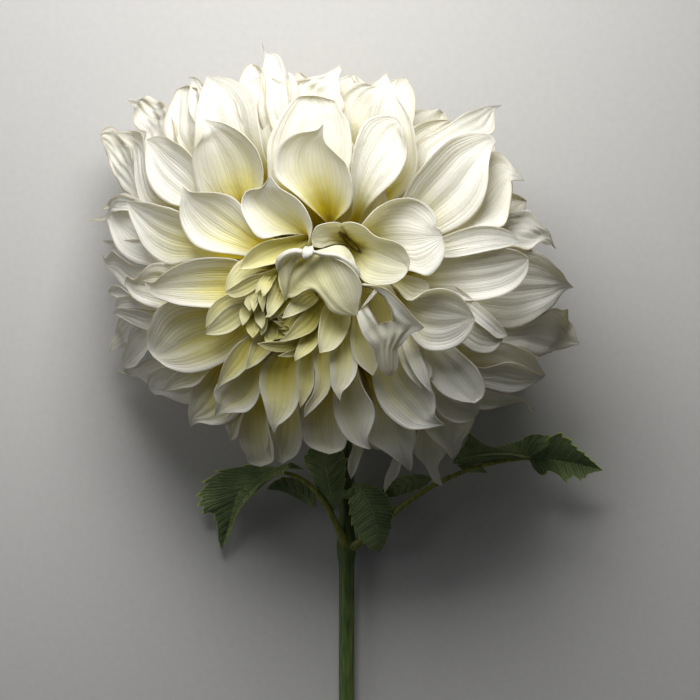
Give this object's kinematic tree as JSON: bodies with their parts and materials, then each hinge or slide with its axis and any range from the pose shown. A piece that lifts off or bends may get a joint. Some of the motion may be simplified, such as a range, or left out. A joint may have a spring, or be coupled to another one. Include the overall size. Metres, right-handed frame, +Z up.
{
  "type": "cut dahlia flower",
  "caption": "Large white double dahlia bloom on its cut stem with compound leaves at one node, lying on its back on a surface.",
  "frame": {"origin": "centre of the bounding box, on the surface that the flower lies on", "axes": "+X to the right of the bloom's face, +Y along the stem from the cut end to the bloom, +Z up out of the surface"},
  "size_m": [0.2552, 0.3633, 0.1667],
  "materials": {
    "petal_white": "soft satin petal, cream to yellow at the base",
    "calyx_green": "matt green plant skin",
    "stem_green": "dark green ridged stem, slightly glossy",
    "leaf_green": "dark green leaf, slightly glossy"
  },
  "bodies": {
    "root": {"bloom": "petal_white", "calyx": "calyx_green", "stem": "stem_green", "leaf_left": "leaf_green", "leaf_right": "leaf_green"}
  },
  "joints": []
}
